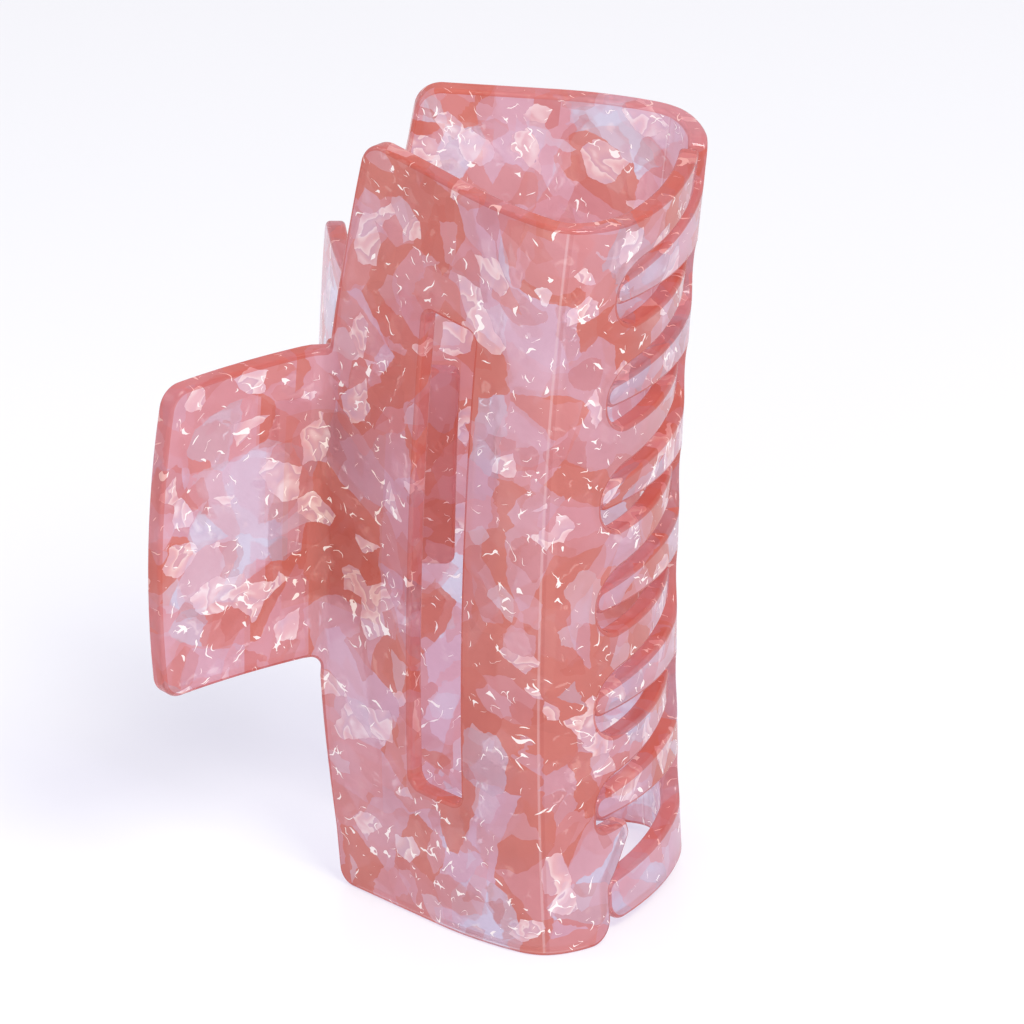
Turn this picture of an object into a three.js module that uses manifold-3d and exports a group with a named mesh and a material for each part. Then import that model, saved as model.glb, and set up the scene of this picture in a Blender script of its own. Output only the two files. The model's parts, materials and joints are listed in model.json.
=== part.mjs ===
// Large rectangular claw hair clip, standing on its end.
// Two sheet jaws with interlocking teeth and thumb handles turn about one steel pin.
// Millimetres. Built in the clip's own frame first:
//   x runs from the handles (-) to the teeth (+), y across the clip, z along the pin.
// The finished clip is then tipped so that the lower ends of both jaws lie flat on z = 0.

import * as THREE from 'three';
import { mergeVertices } from 'three/addons/utils/BufferGeometryUtils.js';
import Module from 'manifold-3d';

const wasm = await Module();
wasm.setup();

// ---- driving dimensions ------------------------------------------------------------

const clipLength = 106;
const sheet = 2.5;            // thickness of the jaw sheet
const bowRise = 2.2;          // how far the jaw ends bow toward the teeth
const endFan = 1056;          // height above which the tilted end planes would meet
const endTilt = Math.atan(clipLength / 2 / endFan);

// Outer face of a jaw, seen along the pin: from the waist toward the teeth.
// Each run is [length, heading at its end in degrees, straight pieces used].
const waist = { x: -16.4, y: -9.4 };
const panelHeading = -23;
const frontRuns = [
  [17.2, -23, 1],             // flat panel
  [13, -8, 3],                // panel eases round
  [7, 42, 6],                 // soft crease
  [9, 78, 5],                 // shoulder of the tooth face
  [9, 92, 3],                 // tooth face
  [15.6, 113, 7],             // curled tooth tips
];
// From the waist toward the handle tip; headings open outward from straight back.
const handleRuns = [
  [1, -23, 1],
  [3.7, 52, 8],               // concave bend of the waist
  [21.8, 64, 6],              // thumb handle
];

const handleHalf = 22.2;      // half the handle's length along the pin
const handleBulge = 1.3;      // convex handle tip
const handleCorner = 3;
const edgeBulge = 3.1;        // convex hinge-side edge of the panel
const endCorner = 4;          // rounded corners at the ends of the hinge-side edge

const windowAt = [13.3, 22.2];  // along the panel from the waist
const windowHalf = 34.2;
const windowCorner = 1.6;

const faceStart = 12;         // x beyond which the jaw belongs to the tooth face
const toothPitch = 14.85;
const rootLine = -13.7;       // y of the slot roots in the front jaw
const tipLine = 12.8;         // y of the tooth tips in the front jaw
const slotRoot = 4.8;         // radius of a slot root
const tipRadius = 1.65;       // radius of a tooth tip
const stubHalf = 4.7;         // half width of the short last shoulder of the front jaw
const stubLine = -8.4;        // y the shoulder reaches
const endLine = -12;          // y of the plain edge beyond the last tooth
const endRadius = 2.55;       // where that edge meets the last tooth
const endTooth = {            // tooth 1: set in from the end, tip y, extra width
  front: { gap: 1.1, tip: 11.2, round: 2.4, extra: 0 },
  back: { gap: 2.4, tip: 10.9, round: 3.2, extra: 2.2 },
};

const pin = { x: -19.4, radius: 1.1, reach: 14.1, head: 1.8, headThick: 0.8 };
const block = { half: 13.9, thick: 2.2, panelReach: 8, handleReach: 8, glue: 0.15 };
const knuckle = { radius: 3.1, bore: 1.35, outer: [9.1, 13.3], inner: [4.6, 8.8] };
const spring = { wire: 0.55, radius: 2.55, turns: 5, half: 3.3, leg: 9.4, splay: 60 };

// ---- materials ---------------------------------------------------------------------

const acetate = new THREE.MeshStandardMaterial({ color: 0xdd8f8a, roughness: 0.15 });
const acetateBlock = new THREE.MeshStandardMaterial({ color: 0xc9746c, roughness: 0.2 });
const steel = new THREE.MeshStandardMaterial({ color: 0xb9bcc0, roughness: 0.3, metalness: 1 });

// ---- solids ------------------------------------------------------------------------

function solidOf(geometry) {
  const bare = geometry.clone();
  bare.deleteAttribute('normal');
  bare.deleteAttribute('uv');
  const merged = mergeVertices(bare, 1e-4);
  return new wasm.Manifold(new wasm.Mesh({
    numProp: 3,
    vertProperties: new Float32Array(merged.attributes.position.array),
    triVerts: new Uint32Array(merged.index.array),
  }));
}

function geometryOf(solid) {
  const mesh = solid.getMesh();
  const geometry = new THREE.BufferGeometry();
  const stride = mesh.numProp;
  const count = mesh.vertProperties.length / stride;
  const positions = new Float32Array(count * 3);
  for (let i = 0; i < count; i += 1) {
    for (let k = 0; k < 3; k += 1) {
      positions[3 * i + k] = mesh.vertProperties[stride * i + k];
    }
  }
  geometry.setAttribute('position', new THREE.BufferAttribute(positions, 3));
  geometry.setIndex(new THREE.BufferAttribute(new Uint32Array(mesh.triVerts), 1));
  geometry.computeVertexNormals();
  return geometry;
}

// ---- the jaw's section -------------------------------------------------------------

// Walks the runs and returns points with the unit normal that faces inside the clip.
function walk(runs, startHeading, direction) {
  const stations = [];
  let x = waist.x;
  let y = waist.y;
  let heading = startHeading;
  let along = 0;
  const put = () => {
    const a = THREE.MathUtils.degToRad(heading);
    stations.push({ x, y, nx: -Math.sin(a), ny: Math.cos(a), along });
  };
  put();
  for (const [length, endHeading, pieces] of runs) {
    const step = length / pieces;
    const turn = (endHeading - heading) / pieces;
    for (let i = 0; i < pieces; i += 1) {
      const middle = THREE.MathUtils.degToRad(heading + turn / 2);
      x += direction * step * Math.cos(middle);
      y += direction * step * Math.sin(middle);
      heading += turn;
      along += step;
      put();
    }
  }
  return stations;
}

const frontWalk = walk(frontRuns, panelHeading, 1);
const handleWalk = walk(handleRuns, panelHeading, -1);

function part(stations, from, to) {
  return stations.filter((s) => s.along >= from - 1e-6 && s.along <= to + 1e-6);
}

// A closed strip between two offsets from the outer face.
function strip(stations, low, high) {
  const near = stations.map((s) => new THREE.Vector2(s.x + s.nx * low, s.y + s.ny * low));
  const far = stations.map((s) => new THREE.Vector2(s.x + s.nx * high, s.y + s.ny * high));
  return new THREE.Shape([...near, ...far.reverse()]);
}

// Extrudes a section along the pin and gives it the lengthwise bow of the clip.
function bowedBar(shape, halfLength, steps) {
  const geometry = new THREE.ExtrudeGeometry(shape, {
    depth: 2 * halfLength,
    steps,
    bevelEnabled: false,
    curveSegments: 6,
  });
  geometry.translate(0, 0, -halfLength);
  const p = geometry.attributes.position;
  for (let i = 0; i < p.count; i += 1) {
    const x = p.getX(i);
    const z = p.getZ(i);
    p.setX(i, x + bowRise * (2 * z / clipLength) ** 2);
    p.setZ(i, z * (1 - x / endFan));
  }
  return solidOf(geometry);
}

// ---- cutters -----------------------------------------------------------------------

// A prism whose outline is drawn in (u, z), with u leaving `origin` at `heading`;
// it is cut square through a sheet that runs at that heading.
function panelPrism(outline, origin, heading, reach) {
  const geometry = new THREE.ExtrudeGeometry(outline, {
    depth: 2 * reach,
    bevelEnabled: false,
    curveSegments: 5,
  });
  geometry.translate(0, 0, -reach);
  geometry.rotateX(Math.PI / 2);
  geometry.rotateZ(THREE.MathUtils.degToRad(heading));
  geometry.translate(origin.x, origin.y, 0);
  return solidOf(geometry);
}

// Everything of the tooth face that lies outside an outline drawn in (y, z).
function faceWaste(outline) {
  const kept = new THREE.ExtrudeGeometry(outline, {
    depth: 40,
    bevelEnabled: false,
    curveSegments: 5,
  });
  kept.rotateX(Math.PI / 2);
  kept.rotateZ(Math.PI / 2);
  const whole = new THREE.BoxGeometry(30, 80, 118);
  whole.translate(faceStart + 15, 0, 0);
  return solidOf(whole).subtract(solidOf(kept));
}

function roundedBox(u0, u1, half, corner) {
  const shape = new THREE.Shape();
  shape.moveTo(u0 + corner, -half);
  shape.lineTo(u1 - corner, -half);
  shape.absarc(u1 - corner, -half + corner, corner, -Math.PI / 2, 0);
  shape.lineTo(u1, half - corner);
  shape.absarc(u1 - corner, half - corner, corner, 0, Math.PI / 2);
  shape.lineTo(u0 + corner, half);
  shape.absarc(u0 + corner, half - corner, corner, Math.PI / 2, Math.PI);
  shape.lineTo(u0, -half + corner);
  shape.absarc(u0 + corner, -half + corner, corner, Math.PI, 1.5 * Math.PI);
  return shape;
}

// Outline of the panel: convex hinge-side edge with rounded end corners.
function panelOutline() {
  const shape = new THREE.Shape();
  const end = clipLength / 2 + 0.9;
  const pieces = 12;
  shape.moveTo(90, -end - 5);
  shape.lineTo(endCorner, -end - 5);
  shape.lineTo(endCorner, -end);
  shape.absarc(endCorner, -end + endCorner, endCorner, 1.5 * Math.PI, Math.PI, true);
  for (let i = 1; i < pieces; i += 1) {
    const z = (end - endCorner) * (2 * i / pieces - 1);
    shape.lineTo(-edgeBulge * (1 - (z / (end - endCorner)) ** 2), z);
  }
  shape.absarc(endCorner, end - endCorner, endCorner, Math.PI, 0.5 * Math.PI, true);
  shape.lineTo(endCorner, end + 5);
  shape.lineTo(90, end + 5);
  return shape;
}

// Outline of the handle: gently convex tip with rounded corners.
function handleOutline(length) {
  const shape = new THREE.Shape();
  const pieces = 8;
  const side = handleHalf - handleCorner;
  shape.moveTo(-12, -handleHalf);
  shape.lineTo(length - handleCorner, -handleHalf);
  shape.absarc(length - handleCorner, -side, handleCorner, -Math.PI / 2, 0);
  for (let i = 1; i < pieces; i += 1) {
    const z = side * (2 * i / pieces - 1);
    shape.lineTo(length + handleBulge * (1 - (z / side) ** 2), z);
  }
  shape.absarc(length - handleCorner, side, handleCorner, 0, Math.PI / 2);
  shape.lineTo(-12, handleHalf);
  return shape;
}

const tipCentreY = tipLine - tipRadius;

// Outline of the toothed edge in (y, z). Tooth 1 lies along the +z end of the jaw;
// six more follow. With `stub` the last one is only a short shoulder.
function combOutline(stub) {
  const shape = new THREE.Shape();
  const first = stub ? endTooth.front : endTooth.back;
  const end = clipLength / 2 - first.gap;
  const centre = (k) => (4.25 - k) * toothPitch;
  shape.moveTo(-45, -60);
  shape.lineTo(-45, 60);
  shape.lineTo(first.tip - first.round, 60);
  shape.lineTo(first.tip - first.round, end);
  shape.absarc(first.tip - first.round, end - first.round, first.round, Math.PI / 2, 0, true);
  for (let k = 1; k <= 7; k += 1) {
    const z = centre(k);
    const last = k === 7;
    if (k > 1 && !(last && stub)) {
      shape.lineTo(tipCentreY, z + tipRadius);
      shape.absarc(tipCentreY, z, tipRadius, Math.PI / 2, 0, true);
    }
    if (last && stub) {
      shape.lineTo(stubLine, z + stubHalf);
      shape.absarc(stubLine, z + stubHalf - 1.2, 1.2, Math.PI / 2, -0.5, true);
    } else if (k === 1) {
      shape.absarc(first.tip - tipRadius, z - first.extra, tipRadius, 0, -Math.PI / 2, true);
    } else {
      shape.absarc(tipCentreY, z, tipRadius, 0, -Math.PI / 2, true);
    }
    if (!last) {
      const slot = z - toothPitch / 2;
      const low = k === 6 && stub ? 1.2 * Math.PI : 1.5 * Math.PI;
      const less = k === 1 ? first.extra / 2 : 0;
      const radius = slotRoot - less;
      shape.lineTo(rootLine + radius, slot - less + radius);
      shape.absarc(rootLine + radius, slot - less, radius, Math.PI / 2, low, false);
    }
  }
  const z = centre(7);
  const lowest = -clipLength / 2 + 0.6;
  if (stub) {
    shape.lineTo(endLine, z - 3.4);
  } else {
    const under = z - toothPitch / 2;
    shape.lineTo(endLine + endRadius, under + endRadius);
    shape.absarc(endLine + endRadius, under, endRadius, Math.PI / 2, Math.PI, false);
  }
  shape.lineTo(endLine, lowest + 3);
  shape.absarc(endLine - 3, lowest + 3, 3, 0, -Math.PI / 2, true);
  shape.lineTo(endLine - 3, -60);
  return shape;
}

// ---- one jaw -----------------------------------------------------------------------

function buildJaw(stub) {
  const edgeStart = walk([[edgeBulge + 1, panelHeading, 1]], panelHeading, -1).slice(1);
  const panelSection = strip([...edgeStart, ...frontWalk], 0, sheet);
  const outline = panelPrism(panelOutline(), waist, panelHeading, 60);
  const panel = bowedBar(panelSection, clipLength / 2, 14).intersect(outline);

  const windowHeading = panelHeading + 3;
  const window = panelPrism(
    roundedBox(windowAt[0], windowAt[1], windowHalf, windowCorner),
    waist, windowHeading, 9,
  );
  const toothed = panel.subtract(window).subtract(faceWaste(combOutline(stub)));

  // Behind the waist the handle takes over from the panel.
  const behind = panelPrism(
    roundedBox(-14, 0, handleHalf - 0.4, 0.5), waist, panelHeading, 12,
  );

  // The handle starts a little inside the panel so that the sheet stays one piece.
  const lap = frontWalk.slice(0, 1).map((s) => ({
    ...s,
    x: s.x + 2 * Math.cos(THREE.MathUtils.degToRad(panelHeading)),
    y: s.y + 2 * Math.sin(THREE.MathUtils.degToRad(panelHeading)),
  }));
  const tip = handleWalk[handleWalk.length - 1];
  const bend = handleWalk[9];
  const reach = Math.hypot(tip.x - bend.x, tip.y - bend.y);
  const tipHeading = THREE.MathUtils.radToDeg(Math.atan2(bend.y - tip.y, bend.x - tip.x));
  const spare = {
    ...tip,
    x: tip.x + 2 * (tip.x - handleWalk[handleWalk.length - 2].x) / 3.6,
    y: tip.y + 2 * (tip.y - handleWalk[handleWalk.length - 2].y) / 3.6,
  };
  const handleSection = strip([...lap, ...handleWalk, spare], 0, sheet);
  const handleBlank = bowedBar(handleSection, handleHalf + 1, 6);
  const handleCut = panelPrism(handleOutline(reach), bend, 180 + tipHeading, 40);
  return toothed.subtract(behind).add(handleBlank.intersect(handleCut));
}

// ---- hinge -------------------------------------------------------------------------

// Plate bonded inside a jaw over its waist, with two knuckles reaching to the pin.
function buildBlock(knuckleSpan) {
  const low = sheet + block.glue;
  const ahead = part(frontWalk, 0, block.panelReach);
  const aheadEnd = {
    ...ahead[0],
    x: waist.x + block.panelReach * Math.cos(THREE.MathUtils.degToRad(panelHeading)),
    y: waist.y + block.panelReach * Math.sin(THREE.MathUtils.degToRad(panelHeading)),
  };
  const behind = part(handleWalk, 0, block.handleReach + 1);
  const line = [...behind.reverse(), aheadEnd];
  let solid = bowedBar(strip(line, low, low + block.thick), block.half, 4);
  const [from, to] = knuckleSpan;
  for (const side of [1, -1]) {
    const middle = side * (from + to) / 2;
    const barrel = new THREE.CylinderGeometry(
      knuckle.radius, knuckle.radius, to - from, 36,
    );
    barrel.rotateX(Math.PI / 2);
    barrel.translate(pin.x, 0, middle);
    const web = new THREE.BoxGeometry(3.6, 4.4, to - from);
    web.translate(pin.x, -3, middle);
    solid = solid.add(solidOf(barrel)).add(solidOf(web));
  }
  const bore = new THREE.CylinderGeometry(knuckle.bore, knuckle.bore, 40, 30);
  bore.rotateX(Math.PI / 2);
  bore.translate(pin.x, 0, 0);
  return solid.subtract(solidOf(bore));
}

function pinGeometry() {
  const { radius, reach, head, headThick } = pin;
  const profile = [
    new THREE.Vector2(0, -reach - headThick),
    new THREE.Vector2(head - 0.4, -reach - headThick),
    new THREE.Vector2(head, -reach - headThick + 0.3),
    new THREE.Vector2(head, -reach),
    new THREE.Vector2(radius, -reach),
    new THREE.Vector2(radius, reach),
    new THREE.Vector2(head, reach),
    new THREE.Vector2(head, reach + headThick - 0.3),
    new THREE.Vector2(head - 0.4, reach + headThick),
    new THREE.Vector2(0, reach + headThick),
  ];
  const geometry = new THREE.LatheGeometry(profile, 32);
  geometry.rotateX(Math.PI / 2);
  return geometryOf(solidOf(geometry));
}

// Wire path: a leg down to the front plate, the coil, and a leg to the back plate.
class SpringPath extends THREE.Curve {
  getPoint(t, target = new THREE.Vector3()) {
    const a = THREE.MathUtils.degToRad(spring.splay);
    // Each leg leaves the coil on the side of the pin away from its own plate.
    const first = Math.atan2(Math.cos(a), -Math.sin(a));
    const last = Math.atan2(-Math.cos(a), -Math.sin(a));
    const sweep = 2 * Math.PI * spring.turns - (last - first);
    const coil = spring.radius * sweep;
    const d = t * (coil + 2 * spring.leg);
    if (d < spring.leg) {
      const back = spring.leg - d;
      return target.set(
        spring.radius * Math.cos(first) - back * Math.cos(a),
        spring.radius * Math.sin(first) - back * Math.sin(a),
        -spring.half,
      );
    }
    if (d > coil + spring.leg) {
      const out = d - coil - spring.leg;
      return target.set(
        spring.radius * Math.cos(last) - out * Math.cos(a),
        spring.radius * Math.sin(last) + out * Math.sin(a),
        spring.half,
      );
    }
    const s = (d - spring.leg) / coil;
    const angle = first - s * sweep;
    return target.set(
      spring.radius * Math.cos(angle),
      spring.radius * Math.sin(angle),
      -spring.half + 2 * spring.half * s,
    );
  }
}

function springGeometry() {
  const path = new SpringPath();
  const round = new THREE.Shape();
  round.absarc(0, 0, spring.wire, 0, 2 * Math.PI);
  const geometry = new THREE.ExtrudeGeometry(round, {
    steps: 170,
    extrudePath: path,
    bevelEnabled: false,
    curveSegments: 4,
  });
  return geometryOf(solidOf(geometry));
}

// ---- assembly ----------------------------------------------------------------------

function node(name, geometry, material) {
  const mesh = new THREE.Mesh(geometry, material);
  mesh.name = name;
  return mesh;
}

const clip = new THREE.Group();
clip.name = 'clip';

const frontJaw = node('front_jaw', geometryOf(buildJaw(true)), acetate);
const frontBlock = node(
  'front_hinge_block', geometryOf(buildBlock(knuckle.outer)), acetateBlock,
);
clip.add(frontJaw, frontBlock);

// The back jaw is turned end for end about x.
const backHalf = new THREE.Group();
backHalf.rotation.x = Math.PI;
backHalf.add(node('back_jaw', geometryOf(buildJaw(false)), acetate));
backHalf.add(
  node('back_hinge_block', geometryOf(buildBlock(knuckle.inner)), acetateBlock),
);
clip.add(backHalf);

const pinMesh = node('hinge_pin', pinGeometry(), steel);
pinMesh.position.set(pin.x, 0, 0);
const springMesh = node('torsion_spring', springGeometry(), steel);
springMesh.position.set(pin.x, 0, 0);
clip.add(pinMesh, springMesh);

// Tip the clip until its lower end plane is level, then stand it on z = 0, centred.
const stand = new THREE.Group();
stand.add(clip);
clip.rotation.y = endTilt;
stand.updateMatrixWorld(true);
const box = new THREE.Box3().setFromObject(stand, true);
const middle = box.getCenter(new THREE.Vector3());
stand.position.set(-middle.x, -middle.y, -box.min.z);
stand.updateMatrixWorld(true);

const root = new THREE.Group();
root.name = 'claw_clip';
root.add(stand);

export default root;
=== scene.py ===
"""Looks of a large rectangular claw hair clip in marbled acetate, standing on its end."""

import json
import math

import bmesh
import bpy
import numpy as np
from mathutils import Matrix, Vector
from mathutils.geometry import delaunay_2d_cdt


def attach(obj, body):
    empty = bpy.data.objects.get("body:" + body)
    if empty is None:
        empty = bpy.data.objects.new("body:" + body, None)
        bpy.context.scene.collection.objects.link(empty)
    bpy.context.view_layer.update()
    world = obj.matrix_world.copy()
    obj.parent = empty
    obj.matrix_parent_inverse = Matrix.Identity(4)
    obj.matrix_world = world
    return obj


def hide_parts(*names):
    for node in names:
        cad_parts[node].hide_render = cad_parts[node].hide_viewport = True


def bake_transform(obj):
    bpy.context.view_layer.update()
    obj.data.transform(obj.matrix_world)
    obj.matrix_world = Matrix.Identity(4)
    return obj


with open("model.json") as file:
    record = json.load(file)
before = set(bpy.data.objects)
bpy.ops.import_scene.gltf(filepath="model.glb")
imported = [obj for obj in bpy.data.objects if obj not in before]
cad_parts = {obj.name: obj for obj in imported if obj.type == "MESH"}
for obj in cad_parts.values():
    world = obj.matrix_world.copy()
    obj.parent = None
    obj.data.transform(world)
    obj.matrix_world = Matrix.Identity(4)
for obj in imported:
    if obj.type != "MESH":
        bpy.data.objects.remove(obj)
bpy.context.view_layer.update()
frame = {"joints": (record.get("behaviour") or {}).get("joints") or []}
MM = 0.001

# ---- the clip's own frame, in mm: x to the teeth, y across, z along the pin ------------

LENGTH = 106.0
SHEET = 2.5
BOW = 2.2
FAN = 1056.0
WAIST = (-16.4, -9.4)
PIN_X = -19.4
joint = frame["joints"][0]
pin_point = Vector(joint["pos_m"])
pin_axis = Vector(joint["axis"]).normalized()
tilt = math.atan2(pin_axis.x, pin_axis.z)
clip_to_row = (
    Matrix.Translation(pin_point)
    @ Matrix.Rotation(tilt, 4, "Y")
    @ Matrix.Scale(MM, 4)
    @ Matrix.Translation((-PIN_X, 0, 0))
)

# Heading of the outer face of the front jaw, in degrees, along the developed sheet.
HEADINGS = [
    (-30.0, 66.0), (-26.5, 64.0), (-4.7, 52.0), (-1.0, -23.0), (17.2, -23.0),
    (30.2, -8.0), (33.5, 13.0), (34.7, 27.0), (37.2, 42.0), (46.2, 78.0), (55.2, 92.0),
    (70.8, 113.0), (72.0, 115.0),
]
PATH_STEP = 0.05
path_s = np.arange(-30.0, 72.0, PATH_STEP)
path_heading = np.radians(np.interp(path_s, *zip(*HEADINGS)))
start_index = int(round(30.0 / PATH_STEP))


def integrate(values):
    total = np.concatenate([[0.0], np.cumsum(0.5 * (values[1:] + values[:-1]) * PATH_STEP)])
    return total - total[start_index]


path_x = WAIST[0] + integrate(np.cos(path_heading))
path_y = WAIST[1] + integrate(np.sin(path_heading))
path_turn = np.abs(np.gradient(path_heading, PATH_STEP))
# A stretched copy of the length that gives tight bends more mesh.
path_sigma = np.concatenate([[0.0], np.cumsum((1 + 11.0 * path_turn[1:]) * PATH_STEP)])


def section(s, n):
    """Point of the front jaw's section at developed length s, n mm inside the outer face."""
    h = np.interp(s, path_s, path_heading)
    x = np.interp(s, path_s, path_x) - n * np.sin(h)
    y = np.interp(s, path_s, path_y) + n * np.cos(h)
    return x, y


def to_clip(s, n, z):
    """Developed sheet to the clip's frame, with the lengthwise bow and tilted ends."""
    x, y = section(s, n)
    return np.stack([x + BOW * (2 * z / LENGTH) ** 2, y, z * (1 - x / FAN)], -1)


def flat_z(s, z):
    """Height on the developed sheet of a feature that is cut at height z."""
    x, _ = section(s, 0.0)
    return z / (1 - x / FAN)


def s_of_y(y):
    face = path_s > 36.0
    return float(np.interp(y, path_y[face], path_s[face]))


# ---- outlines on the developed sheet ---------------------------------------------------

HANDLE_HALF = 22.2
HANDLE_TIP = -26.4
EDGE_BULGE = 3.1
WINDOW = (13.3, 22.2, 34.2)
PITCH = 14.85
ROOT_Y, TIP_Y = -13.7, 12.8
SLOT_R, TIP_R = 4.8, 1.65
STUB_HALF = 4.7
END_Y = -12.0
# The end tooth: how far it reaches, and on the back jaw how far it is set in and widened.
FRONT_TIP_Y, BACK_TIP_Y = 11.2, 10.9
BACK_GAP, BACK_EXTRA = 1.4, 2.2


def fillet(corners):
    """Closed outline from (s, z, radius) corners, with arcs at the corners."""
    out = []
    count = len(corners)
    for i, (s, z, radius) in enumerate(corners):
        here = np.array([s, z])
        before = np.array(corners[i - 1][:2]) - here
        after = np.array(corners[(i + 1) % count][:2]) - here
        if radius <= 0:
            out.append(here)
            continue
        lb, la = np.linalg.norm(before), np.linalg.norm(after)
        ub, ua = before / lb, after / la
        inner = math.acos(max(-1.0, min(1.0, float(ub @ ua))))
        cut = min(radius / math.tan(inner / 2), 0.49 * lb, 0.49 * la)
        r = cut * math.tan(inner / 2)
        centre_dir = (ub + ua) / np.linalg.norm(ub + ua)
        centre = here + centre_dir * math.hypot(cut, r)
        p0, p1 = here + ub * cut, here + ua * cut
        a0 = math.atan2(*(p0 - centre)[::-1])
        a1 = math.atan2(*(p1 - centre)[::-1])
        sweep = (a1 - a0 + math.pi) % (2 * math.pi) - math.pi
        steps = max(3, int(abs(sweep) * r / 0.28))
        for k in range(steps + 1):
            a = a0 + sweep * k / steps
            out.append(centre + r * np.array([math.cos(a), math.sin(a)]))
    return out


def resample(points, longest=1.25):
    """Adds points so that no edge is longer than the mesh wants where it lies."""
    out = []
    for i, p in enumerate(points):
        q = points[(i + 1) % len(points)]
        sp, sq = np.interp([p[0], q[0]], path_s, path_sigma)
        size = math.hypot(sq - sp, q[1] - p[1])
        if size < 1e-4:
            continue
        pieces = max(1, int(math.ceil(size / longest)))
        for k in range(pieces):
            out.append(p + (q - p) * (k / pieces))
    return np.array(out)


def jaw_corners(stub):
    """Corners of one jaw's blank, counter-clockwise in (s, z), tooth 1 at +z."""
    half = LENGTH / 2
    end_s = s_of_y(END_Y)
    first_tip = FRONT_TIP_Y if stub else BACK_TIP_Y
    extra = 0.0 if stub else BACK_EXTRA
    hinge_corner = (-0.6, -half, 2.3) if stub else (-0.3, -half, 3.4)
    corners = [hinge_corner, (end_s, -half, 3.4)]

    def put(y, z, radius):
        s = s_of_y(y)
        corners.append((s, float(flat_z(s, z)), radius))

    for k in range(7, 0, -1):
        z = (4.25 - k) * PITCH
        if k == 7 and stub:
            put(END_Y, z - 3.4, 1.5)
            put(-7.3, z + STUB_HALF - 2.1, 1.1)
            put(-8.0, z + STUB_HALF, 0.9)
        else:
            if k == 7:
                put(END_Y, z - 5.25, 2.4)
            if k == 1:
                put(first_tip, z - extra - TIP_R, TIP_R)
            else:
                put(TIP_Y, z - TIP_R, TIP_R)
                put(TIP_Y, z + TIP_R, TIP_R)
        if k > 1:
            slot = z + PITCH / 2
            if k == 7 and stub:
                put(ROOT_Y, z + STUB_HALF + 0.1, 1.6)
            else:
                less = extra / 2 if k == 2 else 0.0
                put(ROOT_Y, slot - SLOT_R + 0.3, SLOT_R - 0.3 - less)
            less = extra if k == 2 else 0.0
            put(ROOT_Y, slot + SLOT_R - 0.3 - less, SLOT_R - 0.3 - less / 2)
    if stub:
        corners.append((s_of_y(first_tip), half, 2.4))
    else:
        corners.append((s_of_y(first_tip), half - BACK_GAP, 3.4))
        corners.append((40.0, half - BACK_GAP + 0.2, 6.0))
    corners.append((0.0, half, 3.8))
    top = float(flat_z(-3.0, HANDLE_HALF))
    root_edge = -EDGE_BULGE * (1 - (top / half) ** 2)
    for i in range(1, 9):
        z = half - 4.5 - (half - 4.5 - top - 2.5) * i / 8
        corners.append((-EDGE_BULGE * (1 - (z / half) ** 2), z, 0))
    tip_z = float(flat_z(HANDLE_TIP, HANDLE_HALF))
    corners.append((root_edge, top, 0.7))
    corners.append((HANDLE_TIP, tip_z, 3.0))
    for i in range(1, 12):
        z = (tip_z - 3.2) * (1 - i / 6)
        corners.append((HANDLE_TIP - 1.3 * (1 - (z / tip_z) ** 2), z, 0))
    corners.append((HANDLE_TIP, -tip_z, 3.0))
    corners.append((root_edge, -top, 1.4))
    for i in range(8, 0, -1):
        z = -(half - 4.5 - (half - 4.5 - top - 2.5) * i / 8)
        power = 2.7 if stub else 2.0
        corners.append((-EDGE_BULGE * (1 - abs(z / half) ** power), z, 0))
    return corners


def outward_normals(loop):
    """Unit normals of a counter-clockwise loop, facing away from what it encloses."""
    ahead = np.roll(loop, -1, 0) - loop
    back = loop - np.roll(loop, 1, 0)
    ahead /= np.linalg.norm(ahead, axis=1)[:, None]
    back /= np.linalg.norm(back, axis=1)[:, None]
    t = ahead + back
    t /= np.linalg.norm(t, axis=1)[:, None]
    normal = np.stack([t[:, 1], -t[:, 0]], -1)
    mitre = 1.0 / np.maximum((t * ahead).sum(1), 0.5)
    return normal, mitre


def inside(points, loop):
    """Even-odd test of points against a closed loop."""
    x, y = points[:, 0], points[:, 1]
    hit = np.zeros(len(points), bool)
    for (x0, y0), (x1, y1) in zip(loop, np.roll(loop, -1, 0)):
        crosses = (y0 > y) != (y1 > y)
        if crosses.any():
            at = x0 + (y - y0) * (x1 - x0) / (y1 - y0 if y1 != y0 else 1e-12)
            hit ^= crosses & (x < at)
    return hit


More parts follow.
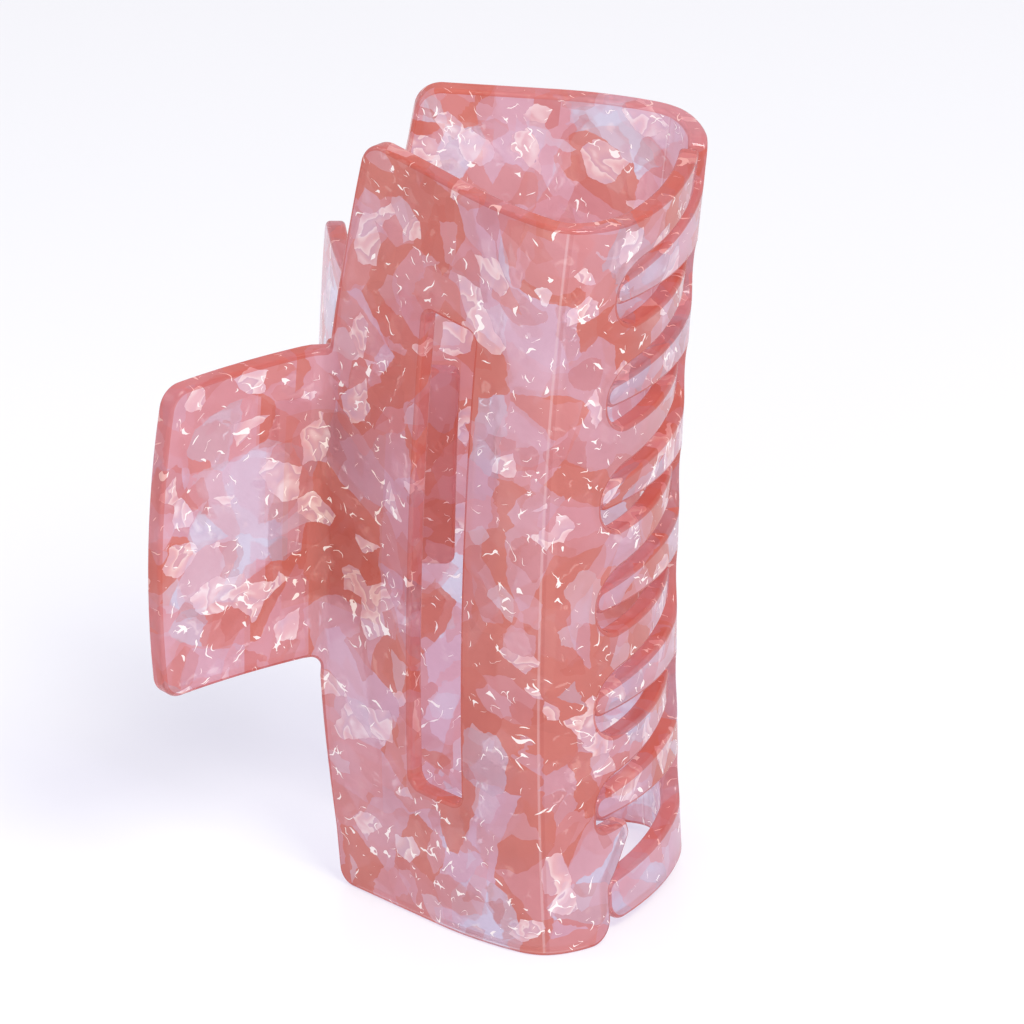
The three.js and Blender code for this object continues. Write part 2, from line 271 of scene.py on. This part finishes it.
def sheet_mesh(name, loops, low, high, edge, to_frame, grid=1.3, turns=5, bends=True):
    """Closed sheet between depths low and high with rounded edges, from outlines.

    loops: outer outline first (counter-clockwise), then holes (clockwise).
    Returns a mesh in the row frame with exact smooth normals and two material slots,
    0 on the faces and 1 on the cut edge.
    """
    params, normals, faces, slots = [], [], [], []
    rings_top, rings_low = [], []
    profile = []
    for k in range(turns + 1):
        a = math.pi / 2 * (1 - k / turns)
        profile.append((edge * (1 - math.cos(a)), high - edge * (1 - math.sin(a)), a))
    for k in range(turns + 1):
        a = -math.pi / 2 * k / turns
        profile.append((edge * (1 - math.cos(a)), low + edge * (1 + math.sin(a)), a))
    total = 0
    for loop in loops:
        normal, mitre = outward_normals(loop)
        count = len(loop)
        first = total
        for inset, depth, a in profile:
            ring = loop - normal * (inset * mitre)[:, None]
            params.append(np.column_stack([ring[:, 0], np.full(count, depth), ring[:, 1]]))
            normals.append(np.column_stack([
                normal[:, 0] * math.cos(a), np.full(count, math.sin(a)),
                normal[:, 1] * math.cos(a),
            ]))
            total += count
        for r in range(len(profile) - 1):
            for i in range(count):
                j = (i + 1) % count
                a0, b0 = first + r * count + i, first + r * count + j
                faces.append((a0, a0 + count, b0 + count, b0))
                slots.append(1)
        rings_top.append((first, count))
        rings_low.append((first + (len(profile) - 1) * count, count))
    stacked = np.concatenate(params)
    ring_loops = [stacked[a:a + c][:, [0, 2]] for a, c in rings_top]
    outer = ring_loops[0]
    spread = (path_s, path_sigma) if bends else (np.array([-99.0, 99.0]),) * 2

    def sig(s):
        return np.interp(s, *spread)

    lo, hi = outer.min(0), outer.max(0)
    g0 = np.arange(sig(lo[0]), sig(hi[0]), grid)
    g1 = np.arange(lo[1], hi[1], grid)
    gx, gy = np.meshgrid(g0, g1)
    gx[1::2] += grid / 2
    pts = np.column_stack([gx.ravel(), gy.ravel()])
    stretched = [np.column_stack([sig(l[:, 0]), l[:, 1]]) for l in ring_loops]
    keep = inside(pts, stretched[0])
    for hole in stretched[1:]:
        keep &= ~inside(pts, hole)
    pts = pts[keep]
    border = np.concatenate(stretched)
    near = np.full(len(pts), 1e9)
    for a in range(0, len(border), 400):
        d = np.linalg.norm(pts[:, None, :] - border[None, a:a + 400, :], axis=2)
        near = np.minimum(near, d.min(1))
    pts = pts[near > grid * 0.55]
    edges = []
    at = 0
    for l in stretched:
        edges += [(at + i, at + (i + 1) % len(l)) for i in range(len(l))]
        at += len(l)
    everything = np.vstack([border, pts])
    _, _, tris, original, _, _ = delaunay_2d_cdt(
        [Vector(p) for p in everything], edges, [], 0, 1e-7)
    source = [o[0] if o else -1 for o in original]
    tri = np.array([[source[v] for v in t] for t in tris])
    middle = everything[tri].mean(1)
    ok = inside(middle, stretched[0])
    for hole in stretched[1:]:
        ok &= ~inside(middle, hole)
    tri = tri[ok]
    inner_s = np.interp(pts[:, 0], spread[1], spread[0])
    for rings, depth, up in ((rings_top, high, 1.0), (rings_low, low, -1.0)):
        index = np.concatenate(
            [np.arange(a, a + c) for a, c in rings] + [np.arange(total, total + len(pts))])
        params.append(np.column_stack([inner_s, np.full(len(pts), depth), pts[:, 1]]))
        normals.append(np.tile([0.0, up, 0.0], (len(pts), 1)))
        total += len(pts)
        for a, b, c in tri:
            pa, pb, pc = everything[a], everything[b], everything[c]
            area = (pb[0] - pa[0]) * (pc[1] - pa[1]) - (pb[1] - pa[1]) * (pc[0] - pa[0])
            flip = (area > 0) != (up > 0)
            face = (index[a], index[c], index[b]) if flip else (index[a], index[b], index[c])
            faces.append(tuple(int(v) for v in face))
            slots.append(0)
    p = np.concatenate(params)
    n = np.concatenate(normals)
    spot = to_frame(p[:, 0], p[:, 1], p[:, 2])
    h = 0.01
    ds = (to_frame(p[:, 0] + h, p[:, 1], p[:, 2]) - to_frame(p[:, 0] - h, p[:, 1], p[:, 2])) / (2 * h)
    dn = (to_frame(p[:, 0], p[:, 1] + h, p[:, 2]) - to_frame(p[:, 0], p[:, 1] - h, p[:, 2])) / (2 * h)
    dz = (to_frame(p[:, 0], p[:, 1], p[:, 2] + h) - to_frame(p[:, 0], p[:, 1], p[:, 2] - h)) / (2 * h)
    jac = np.stack([ds, dn, dz], -1)
    world_n = np.einsum("vij,vj->vi", np.linalg.inv(jac).transpose(0, 2, 1), n)
    world_n /= np.linalg.norm(world_n, axis=1)[:, None]
    if np.linalg.det(jac[len(jac) // 2]) > 0:
        faces = [tuple(reversed(f)) for f in faces]
    mesh = bpy.data.meshes.new(name)
    mesh.from_pydata([tuple(v) for v in spot], [], faces)
    mesh.polygons.foreach_set("use_smooth", [True] * len(mesh.polygons))
    mesh.polygons.foreach_set("material_index", slots)
    mesh.update()
    mesh.normals_split_custom_set_from_vertices([tuple(v) for v in world_n])
    along = mesh.attributes.new("along", "FLOAT", "POINT")
    along.data.foreach_set("value", p[:, 0])
    obj = bpy.data.objects.new(name, mesh)
    bpy.context.scene.collection.objects.link(obj)
    return obj


def placer(flip):
    """Maps the developed sheet into the row frame; flip turns it end for end about x."""
    m = np.array(clip_to_row)

    def to_frame(s, n, z):
        p = to_clip(s, n, z)
        if flip:
            p = p * np.array([1.0, -1.0, -1.0])
        return p @ m[:3, :3].T + m[:3, 3]
    return to_frame


def rounded_rectangle(s0, s1, half, radius):
    return [(s0, -half, radius), (s1, -half, radius), (s1, half, radius), (s0, half, radius)]


def build_jaw(name, node, body, stub, flip):
    outer = resample(fillet(jaw_corners(stub)))
    hole = resample(fillet(rounded_rectangle(*WINDOW, 1.6)), 0.9)[::-1]
    jaw = sheet_mesh(name, [outer, hole], 0.0, SHEET, 0.55, placer(flip))
    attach(jaw, body)
    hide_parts(node)
    return jaw


# ---- materials -------------------------------------------------------------------------

def new_material(name):
    material = bpy.data.materials.new(name)
    material.use_nodes = True
    tree = material.node_tree
    tree.nodes.clear()
    return material, tree


class Nodes:
    """Short names for building a node tree."""

    def __init__(self, tree):
        self.tree = tree

    def add(self, kind, **settings):
        node = self.tree.nodes.new(kind)
        inputs = settings.pop("inputs", {})
        for key, value in settings.items():
            setattr(node, key, value)
        for key, value in inputs.items():
            self.put(node.inputs[key], value)
        return node

    def put(self, socket, value):
        if isinstance(value, bpy.types.NodeSocket):
            self.tree.links.new(value, socket)
        else:
            socket.default_value = value

    def math(self, operation, a, b=0.0, clamp=False):
        node = self.add("ShaderNodeMath", operation=operation, use_clamp=clamp)
        self.put(node.inputs[0], a)
        self.put(node.inputs[1], b)
        return node.outputs[0]

    def mix(self, factor, a, b, blend="MIX"):
        node = self.add("ShaderNodeMix", data_type="RGBA", blend_type=blend)
        self.put(node.inputs["Factor"], factor)
        self.put(node.inputs["A"], a)
        self.put(node.inputs["B"], b)
        return node.outputs["Result"]

    def ramp(self, factor, stops, interpolation="LINEAR"):
        node = self.add("ShaderNodeValToRGB")
        node.color_ramp.interpolation = interpolation
        elements = node.color_ramp.elements
        while len(elements) < len(stops):
            elements.new(0.5)
        for element, (at, colour) in zip(elements, stops):
            element.position = at
            element.color = (*colour, 1.0) if len(colour) == 3 else colour
        self.put(node.inputs[0], factor)
        return node.outputs["Color"]


def srgb(r, g, b):
    def linear(v):
        v /= 255
        return v / 12.92 if v <= 0.04045 else ((v + 0.055) / 1.055) ** 2.4
    return (linear(r), linear(g), linear(b))


CORAL = srgb(217, 134, 122)
DEEP = srgb(209, 114, 100)
PINK = srgb(228, 168, 175)
PALE = srgb(231, 194, 210)
LILAC = srgb(233, 228, 244)


def acetate(name, offset, edge, pale):
    """Marbled acetate: angular overlapping flakes, pearl with a painted sheen, short painted highlights
    and a high polish.

    edge tints it towards the deep colour of a cut edge, pale favours the pale flakes.
    """
    material, tree = new_material(name)
    n = Nodes(tree)
    where = n.add("ShaderNodeTexCoord").outputs["Object"]
    along = n.add("ShaderNodeAttribute", attribute_name="along").outputs["Fac"]
    place = n.add("ShaderNodeMapping", inputs={
        "Vector": where, "Scale": (1000.0, 1000.0, 1000.0), "Location": offset})
    at = place.outputs[0]

    def warp(vector, scale, amount, detail):
        noise = n.add("ShaderNodeTexNoise", inputs={
            "Vector": vector, "Scale": scale, "Detail": detail, "Roughness": 0.5})
        out = n.add("ShaderNodeVectorMath", operation="MULTIPLY_ADD")
        n.put(out.inputs[0], noise.outputs["Color"])
        out.inputs[1].default_value = (amount,) * 3
        n.put(out.inputs[2], vector)
        return out.outputs[0]

    bent = warp(warp(at, 0.05, 8.0, 0.0), 0.4, 1.4, 2.5)

    def moved(move):
        shift = n.add("ShaderNodeVectorMath", operation="ADD")
        n.put(shift.inputs[0], bent)
        shift.inputs[1].default_value = move
        return shift.outputs[0]

    def flakes(size, move):
        cell = n.add("ShaderNodeTexVoronoi", feature="F1", inputs={
            "Vector": moved(move), "Scale": 1.0 / size, "Randomness": 1.0})
        split = n.add("ShaderNodeSeparateColor", inputs={"Color": cell.outputs["Color"]})
        return split.outputs

    # The handle is paler, and the waist and the toothed side have more coral.
    place_along = n.math("MULTIPLY", n.math("ADD", along, 26.0), 0.01)
    side = n.ramp(place_along, [
        (0.0, (0.62,) * 3), (0.12, (0.62,) * 3), (0.22, (0.34,) * 3), (0.36, (0.38,) * 3),
        (0.5, (0.48,) * 3), (0.75, (0.5,) * 3)])
    side = n.math("ADD", side, pale - 0.5)
    big = flakes(10.0, (0.0, 0.0, 0.0))
    mid = flakes(6.5, (31.0, 17.0, 53.0))
    small = flakes(3.8, (77.0, 91.0, 13.0))
    first = n.math("ADD", big[0], side)
    second = n.math("ADD", mid[1], side)
    colour = n.ramp(first, [
        (0.0, CORAL), (0.4, PINK), (0.66, PALE), (0.9, LILAC)], "CONSTANT")
    over = n.ramp(second, [
        (0.0, CORAL), (0.3, DEEP), (0.38, PINK), (0.62, PALE), (0.86, LILAC)], "CONSTANT")
    share = n.math("MULTIPLY", n.math("GREATER_THAN", mid[0], 0.35), 0.6)
    colour = n.mix(share, colour, over)
    bits = n.ramp(small[1], [
        (0.0, DEEP), (0.35, CORAL), (0.6, PALE), (0.8, LILAC)], "CONSTANT")
    colour = n.mix(n.math("MULTIPLY", n.math("GREATER_THAN", small[0], 0.74), 0.4),
                   colour, bits)
    cloud = n.add("ShaderNodeTexNoise", inputs={
        "Vector": at, "Scale": 0.12, "Detail": 4.0, "Roughness": 0.55})
    tint = n.ramp(cloud.outputs["Fac"], [(0.36, (0.93, 0.89, 0.9)), (0.62, (1.0, 1.0, 1.0))])
    colour = n.mix(1.0, colour, tint, "MULTIPLY")
    clear = n.ramp(first, [
        (0.0, (0.5,) * 3), (0.4, (0.58,) * 3), (0.66, (0.68,) * 3), (0.9, (0.85,) * 3)],
        "CONSTANT")
    clear = n.mix(share, clear, n.ramp(second, [
        (0.0, (0.4,) * 3), (0.38, (0.5,) * 3), (0.62, (0.65,) * 3), (0.86, (0.92,) * 3)],
        "CONSTANT"))

    # Crumpled pearl: some flakes are soft folded foil; their white to lilac grey is their own colour,
    # with a painted sheen on the bright peaks and painted shade in the grey folds.
    foil = n.add("ShaderNodeTexNoise", inputs={
        "Vector": moved((12.0, 4.0, 8.0)), "Scale": 0.24, "Detail": 1.5, "Distortion": 0.7})
    pearl_colour_and_sheen = n.ramp(foil.outputs["Fac"], [
        (0.3, srgb(214, 188, 206)), (0.42, srgb(236, 200, 206)), (0.5, srgb(254, 244, 242)),
        (0.515, srgb(206, 176, 196)), (0.6, srgb(226, 192, 200)), (0.7, srgb(250, 238, 240))])
    pearl = n.math("GREATER_THAN", small[2], 0.885)
    colour = n.mix(n.math("MULTIPLY", pearl, 0.62), colour, pearl_colour_and_sheen)

    # Painted highlights: short bright lines that stand in for creases catching the light, in loose
    # clusters and most of all in the pearl.
    def painted_glint_line(scale, width, move, cluster):
        noise = n.add("ShaderNodeTexNoise", inputs={
            "Vector": moved(move), "Scale": scale, "Detail": 0.6})
        near = n.math("ABSOLUTE", n.math("SUBTRACT", noise.outputs["Fac"], 0.5))
        group = n.add("ShaderNodeTexNoise", inputs={
            "Vector": moved(move), "Scale": 0.5, "Detail": 0.0})
        wide = n.math("SUBTRACT", group.outputs["Fac"], n.math(
            "SUBTRACT", cluster, n.math("MULTIPLY", pearl, 0.07)))
        return n.math("LESS_THAN", near, n.math("MULTIPLY", wide, width))

    painted_glint = n.math("MAXIMUM", painted_glint_line(0.3, 0.17, (5.0, 9.0, 2.0), 0.65),
                   painted_glint_line(0.6, 0.2, (55.0, 29.0, 12.0), 0.665))
    # Painted highlight: the bright lines go into the colour as near white.
    colour = n.mix(n.math("MULTIPLY", painted_glint, 0.9), colour, (*srgb(255, 248, 243), 1.0))
    if edge:
        # Cut walls show the sheet's depth in a deeper coral; the further deepening between the teeth is
        # painted shade in the slots.
        depth = n.add("ShaderNodeMapRange", inputs={
            "Value": along, "From Min": 38.0, "From Max": 46.0,
            "To Min": edge, "To Max": edge + 0.12})
        colour = n.mix(depth.outputs[0], colour, (*srgb(202, 88, 70), 1.0))
    else:
        # Painted tint: where the hinge block is cemented inside, the sheet is painted warmer and a
        # little darker, standing in for the block seen through it.
        height_at = n.add("ShaderNodeSeparateXYZ", inputs={"Vector": where}).outputs["Z"]
        across = n.math("LESS_THAN", n.math("ABSOLUTE", along), 8.1)
        lengthwise = n.math("LESS_THAN", n.math(
            "ABSOLUTE", n.math("SUBTRACT", height_at, pin_point.z)), 0.0139)
        painted_block_tint = n.math("MULTIPLY", across, lengthwise)
        colour = n.mix(painted_block_tint, colour, (1.0, 0.92, 0.84, 1.0), "MULTIPLY")
    solid = n.math("MAXIMUM", n.math("MULTIPLY", pearl, 0.6), painted_glint)
    see = n.math("MULTIPLY", clear, n.math("SUBTRACT", 1.0, solid))

    # The fold between the panel and the toothed face shows as a painted highlight line and a painted
    # shade line beside it.
    def fold_line(middle, half):
        return n.math("LESS_THAN", n.math(
            "ABSOLUTE", n.math("SUBTRACT", along, middle)), half)

    if not edge:
        colour = n.mix(n.math("MULTIPLY", fold_line(34.0, 0.16), 0.32), colour,
                       (*srgb(248, 222, 222), 1.0))
        colour = n.mix(n.math("MULTIPLY", fold_line(34.5, 0.2), 0.22), colour,
                       (*srgb(190, 90, 84), 1.0))
    polish = n.add("ShaderNodeTexNoise", inputs={
        "Vector": at, "Scale": 0.3, "Detail": 1.0})
    height = n.math("ADD", polish.outputs["Fac"], n.math("ADD", n.math(
        "MULTIPLY", fold_line(34.2, 0.3), 0.3), n.math("MULTIPLY", solid, 0.06)))
    bump = n.add("ShaderNodeBump", inputs={
        "Height": height, "Strength": 0.25, "Distance": 0.0003})
    shader = n.add("ShaderNodeBsdfPrincipled", inputs={
        "Base Color": colour, "Roughness": 0.05, "IOR": 1.48,
        "Normal": bump.outputs[0]})
    n.put(shader.inputs["Transmission Weight"], see)
    glow = n.add("ShaderNodeBsdfTranslucent", inputs={"Color": colour})
    body = n.add("ShaderNodeMixShader", inputs={
        0: 0.3, 1: shader.outputs[0], 2: glow.outputs[0]})
    # Light goes on through the sheet, a little dimmed, instead of stopping at it.
    path = n.add("ShaderNodeLightPath")
    shade = n.add("ShaderNodeBsdfTransparent", inputs={"Color": (0.78, 0.77, 0.85, 1.0)})
    lit = n.add("ShaderNodeMixShader", inputs={
        0: path.outputs["Is Shadow Ray"], 1: body.outputs[0], 2: shade.outputs[0]})
    through = n.add("ShaderNodeBsdfTransparent", inputs={"Color": (0.9, 0.83, 0.86, 1.0)})
    surface = n.add("ShaderNodeMixShader", inputs={
        0: path.outputs["Is Diffuse Ray"], 1: lit.outputs[0], 2: through.outputs[0]})
    n.add("ShaderNodeOutputMaterial", inputs={"Surface": surface.outputs[0]})
    return material


def metal(name, colour, roughness):
    material, tree = new_material(name)
    n = Nodes(tree)
    where = n.add("ShaderNodeTexCoord").outputs["Object"]
    grain = n.add("ShaderNodeTexNoise", inputs={
        "Vector": where, "Scale": 2600.0, "Detail": 2.0})
    rough = n.add("ShaderNodeMapRange", inputs={
        "Value": grain.outputs["Fac"], "To Min": roughness * 0.8, "To Max": roughness * 1.3})
    bump = n.add("ShaderNodeBump", inputs={
        "Height": grain.outputs["Fac"], "Strength": 0.08, "Distance": 0.00005})
    shader = n.add("ShaderNodeBsdfPrincipled", inputs={
        "Base Color": (*colour, 1.0), "Metallic": 1.0,
        "Roughness": rough.outputs[0], "Normal": bump.outputs[0]})
    n.add("ShaderNodeOutputMaterial", inputs={"Surface": shader.outputs[0]})
    return material


# ---- pieces ----------------------------------------------------------------------------

front_face = acetate("acetate_front", (3.0, 11.0, 7.0), 0.0, -0.03)
front_edge = acetate("acetate_front_edge", (3.0, 11.0, 7.0), 0.6, -0.03)
back_face = acetate("acetate_back", (140.0, 61.0, 23.0), 0.0, 0.19)
back_edge = acetate("acetate_back_edge", (140.0, 61.0, 23.0), 0.52, 0.06)
block_face = acetate("acetate_block", (60.0, 211.0, 95.0), 0.45, -0.05)
block_edge = acetate("acetate_block_edge", (60.0, 211.0, 95.0), 0.6, -0.05)
steel = metal("bright_steel", (0.72, 0.73, 0.75), 0.2)

front_jaw = build_jaw("front_jaw_sheet", "front_jaw", "front_half", True, False)
front_jaw.data.materials.append(front_face)
front_jaw.data.materials.append(front_edge)
back_jaw = build_jaw("back_jaw_sheet", "back_jaw", "back_half", False, True)
back_jaw.data.materials.append(back_face)
back_jaw.data.materials.append(back_edge)

BLOCK_HALF, BLOCK_LOW, BLOCK_HIGH = 13.9, SHEET + 0.15, SHEET + 0.15 + 2.2
KNUCKLE_R, BORE_R = 3.1, 1.35


def circle(radius, count):
    return [np.array([radius * math.cos(2 * math.pi * k / count),
                      radius * math.sin(2 * math.pi * k / count)]) for k in range(count)]


def knuckle_placer(low, flip):
    m = np.array(clip_to_row)

    def to_frame(u, n, v):
        p = np.stack([PIN_X + v, u, low + n], -1)
        if flip:
            p = p * np.array([1.0, -1.0, -1.0])
        return p @ m[:3, :3].T + m[:3, 3]
    return to_frame


def join(name, parts):
    """One object from several; keeps their normals and slots."""
    with bpy.context.temp_override(
            active_object=parts[0], selected_editable_objects=parts):
        bpy.ops.object.join()
    parts[0].name = name
    return parts[0]


def build_block(name, node, body, knuckles, flip):
    plate_line = resample(fillet(rounded_rectangle(-8.2, 8.0, BLOCK_HALF, 1.3)), 1.0)
    parts = [sheet_mesh(name, [plate_line], BLOCK_LOW, BLOCK_HIGH, 0.45, placer(flip), 1.2)]
    # Seen along the pin, a knuckle is a ring on a foot that flares into the plate.
    ring = []
    for a in np.linspace(math.radians(-52), math.radians(232), 40):
        ring.append(np.array([KNUCKLE_R * math.sin(a), KNUCKLE_R * math.cos(a)]))
    foot = [np.array([-4.0, -2.1]), np.array([-5.1, -2.5]), np.array([-5.1, 2.5]),
            np.array([-4.0, 2.1])]
    outline = ring + foot
    area = sum(p[0] * q[1] - p[1] * q[0] for p, q in zip(outline, outline[1:] + outline[:1]))
    outline = np.array(outline if area > 0 else outline[::-1])
    hole = np.array(circle(BORE_R, 28))[::-1]
    for side in (-1, 1):
        low = knuckles[0] if side > 0 else -knuckles[1]
        parts.append(sheet_mesh(
            name + "_k", [outline, hole], 0.0, knuckles[1] - knuckles[0], 0.3,
            knuckle_placer(low, flip), 1.0, 3, False))
    block = join(name, parts)
    block.data.materials.append(block_face)
    block.data.materials.append(block_edge)
    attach(block, body)
    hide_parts(node)
    return block


build_block("front_block", "front_hinge_block", "front_half", (9.1, 13.3), False)
build_block("back_block", "back_hinge_block", "back_half", (4.6, 8.8), True)


def on_pin(points):
    """Points about the pin's middle, in mm, to the row frame."""
    m = np.array(clip_to_row)
    p = np.asarray(points, float) + np.array([PIN_X, 0.0, 0.0])
    return p @ m[:3, :3].T + m[:3, 3]


def finish_mesh(name, points, faces, material, sharp=math.radians(38)):
    mesh = bpy.data.meshes.new(name)
    mesh.from_pydata([tuple(p) for p in points], [], faces)
    bm = bmesh.new()
    bm.from_mesh(mesh)
    bmesh.ops.recalc_face_normals(bm, faces=bm.faces)
    for edge in bm.edges:
        edge.smooth = edge.calc_face_angle(0.0) < sharp
    for face in bm.faces:
        face.smooth = True
    bm.to_mesh(mesh)
    bm.free()
    mesh.materials.append(material)
    obj = bpy.data.objects.new(name, mesh)
    bpy.context.scene.collection.objects.link(obj)
    return obj


def build_pin():
    """Straight rivet pin: a plain shank and the same domed head, with a small dimple in its middle, at
    both ends.
    """
    reach, head, thick, r = 14.1, 1.8, 0.8, 1.1
    half = [(0.0, reach + thick - 0.12)]
    half += [(0.5, reach + thick - 0.1), (0.62, reach + thick)]
    for k in range(1, 6):
        a = math.radians(90 - 16 * k)
        half.append((head - 0.5 + 0.5 * math.cos(a), reach + thick - 0.5 + 0.5 * math.sin(a)))
    half += [(head, reach + 0.14), (head - 0.14, reach), (r + 0.05, reach)]
    half += [(r, reach - 0.3), (r, reach - 4.0), (r, 3.0)]
    profile = half + [(a, -b) for a, b in half[::-1]]
    count = 36
    points, faces = [], []
    for radius, z in profile:
        for k in range(count):
            a = 2 * math.pi * k / count
            points.append((max(radius, 1e-3) * math.cos(a), max(radius, 1e-3) * math.sin(a), z))
    rows = len(profile)
    for i in range(rows - 1):
        for k in range(count):
            j = (k + 1) % count
            faces.append((i * count + k, i * count + j, (i + 1) * count + j, (i + 1) * count + k))
    faces.append(tuple(range(count)))
    faces.append(tuple((rows - 1) * count + k for k in range(count)))
    pin = finish_mesh("pin_rivet", on_pin(points), faces, steel)
    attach(pin, "front_half")
    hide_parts("hinge_pin")
    return pin


def build_spring():
    """Coil of wire round the pin, with a leg on each hinge block."""
    wire, radius, turns, half, leg, splay = 0.55, 2.55, 5, 3.3, 9.4, math.radians(60)
    first = math.atan2(math.cos(splay), -math.sin(splay))
    last = math.atan2(-math.cos(splay), -math.sin(splay))
    sweep = 2 * math.pi * turns - (last - first)
    line = []
    for d in np.linspace(leg, 0, 9)[:-1]:
        line.append((radius * math.cos(first) - d * math.cos(splay),
                     radius * math.sin(first) - d * math.sin(splay), -half))
    for s in np.linspace(0, 1, 230):
        a = first - s * sweep
        line.append((radius * math.cos(a), radius * math.sin(a), -half + 2 * half * s))
    for d in np.linspace(0, leg, 9)[1:]:
        line.append((radius * math.cos(last) - d * math.cos(splay),
                     radius * math.sin(last) + d * math.sin(splay), half))
    line = np.array(line)
    tangent = np.gradient(line, axis=0)
    tangent /= np.linalg.norm(tangent, axis=1)[:, None]
    sides = 12
    points, faces = [], []
    side = np.array([0.0, 0.0, 1.0])
    # Rounded ends: extra rings that close in on each tip.
    rows = []
    for k in range(4):
        a = math.radians(90 - 22 * k)
        rows.append((line[0] - tangent[0] * wire * math.sin(a) * 0.9, tangent[0], wire * math.cos(a)))
    rows += [(p, t, wire) for p, t in zip(line, tangent)]
    for k in range(3, -1, -1):
        a = math.radians(90 - 22 * k)
        rows.append((line[-1] + tangent[-1] * wire * math.sin(a) * 0.9, tangent[-1], wire * math.cos(a)))
    for centre, t, r in rows:
        u = side - t * (side @ t)
        u /= np.linalg.norm(u)
        v = np.cross(t, u)
        for k in range(sides):
            a = 2 * math.pi * k / sides
            points.append(centre + max(r, 1e-3) * (u * math.cos(a) + v * math.sin(a)))
    for i in range(len(rows) - 1):
        for k in range(sides):
            j = (k + 1) % sides
            faces.append((i * sides + k, i * sides + j, (i + 1) * sides + j, (i + 1) * sides + k))
    faces.append(tuple(range(sides)))
    faces.append(tuple((len(rows) - 1) * sides + k for k in range(sides)))
    spring = finish_mesh("spring_wire", on_pin(points), faces, steel, math.radians(60))
    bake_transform(spring)
    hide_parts("torsion_spring")
    return spring


build_pin()
build_spring()

# ---- floor, light and camera -----------------------------------------------------------

floor_mesh = bpy.data.meshes.new("floor")
floor_mesh.from_pydata([(-6, -6, 0), (6, -6, 0), (6, 6, 0), (-6, 6, 0)], [], [(0, 1, 2, 3)])
floor = bpy.data.objects.new("floor", floor_mesh)
bpy.context.scene.collection.objects.link(floor)
floor_material, floor_tree = new_material("floor_white")
nodes = Nodes(floor_tree)
floor_shader = nodes.add("ShaderNodeBsdfPrincipled", inputs={
    "Base Color": (0.8, 0.8, 0.82, 1.0), "Roughness": 0.3, "Specular IOR Level": 0.3})
nodes.add("ShaderNodeOutputMaterial", inputs={"Surface": floor_shader.outputs[0]})
floor.data.materials.append(floor_material)

bpy.context.scene.view_settings.view_transform = "Standard"
world = bpy.data.worlds.new("studio")
bpy.context.scene.world = world
world.use_nodes = True
sky = world.node_tree.nodes["Background"]
sky.inputs["Color"].default_value = (0.96, 0.96, 1.0, 1.0)
sky.inputs["Strength"].default_value = 0.78


def area_light(name, at, aim, size, power, colour=(1.0, 1.0, 1.0)):
    data = bpy.data.lights.new(name, "AREA")
    data.shape = "RECTANGLE"
    data.size, data.size_y = size
    data.energy = power
    data.color = colour
    light = bpy.data.objects.new(name, data)
    light.location = at
    direction = Vector(aim) - Vector(at)
    light.rotation_euler = direction.to_track_quat("-Z", "Y").to_euler()
    bpy.context.scene.collection.objects.link(light)
    return light


aim = (0.0, 0.0, 0.05)
area_light("key", (0.5, -0.33, 0.8), aim, (0.36, 0.36), 7.2, (1.0, 0.985, 0.97))
area_light("front", (0.05, -0.75, 0.5), aim, (0.3, 0.14), 1.0)
area_light("left", (-0.6, -0.1, 0.35), aim, (0.3, 0.4), 0.5, (0.92, 0.93, 1.0))
cycles = bpy.context.scene.cycles
cycles.max_bounces = 10
cycles.diffuse_bounces = 3
cycles.glossy_bounces = 3
cycles.transmission_bounces = 10

AZIMUTH, ELEVATION, ROLL = math.radians(22.74), math.radians(26.49), math.radians(1.145)
DISTANCE = 2.463
back = Vector((math.sin(AZIMUTH) * math.cos(ELEVATION),
               -math.cos(AZIMUTH) * math.cos(ELEVATION), math.sin(ELEVATION)))
right = Vector((math.cos(AZIMUTH), math.sin(AZIMUTH), 0))
up = back.cross(right)
cam_right = right * math.cos(ROLL) - up * math.sin(ROLL)
cam_up = right * math.sin(ROLL) + up * math.cos(ROLL)
centre = pin_point + Vector((0.01672, 0.0, -0.0009)) + cam_right * 0.00604 - cam_up * 0.00127
camera_data = bpy.data.cameras.new("camera")
camera_data.sensor_width = 36.0
camera_data.lens = 674.9
camera_data.clip_end = 30.0
camera = bpy.data.objects.new("camera", camera_data)
camera.matrix_world = Matrix.Translation(centre + back * DISTANCE) @ Matrix((
    (cam_right.x, cam_up.x, back.x, 0), (cam_right.y, cam_up.y, back.y, 0),
    (cam_right.z, cam_up.z, back.z, 0), (0, 0, 0, 1)))
bpy.context.scene.collection.objects.link(camera)
bpy.context.scene.camera = camera
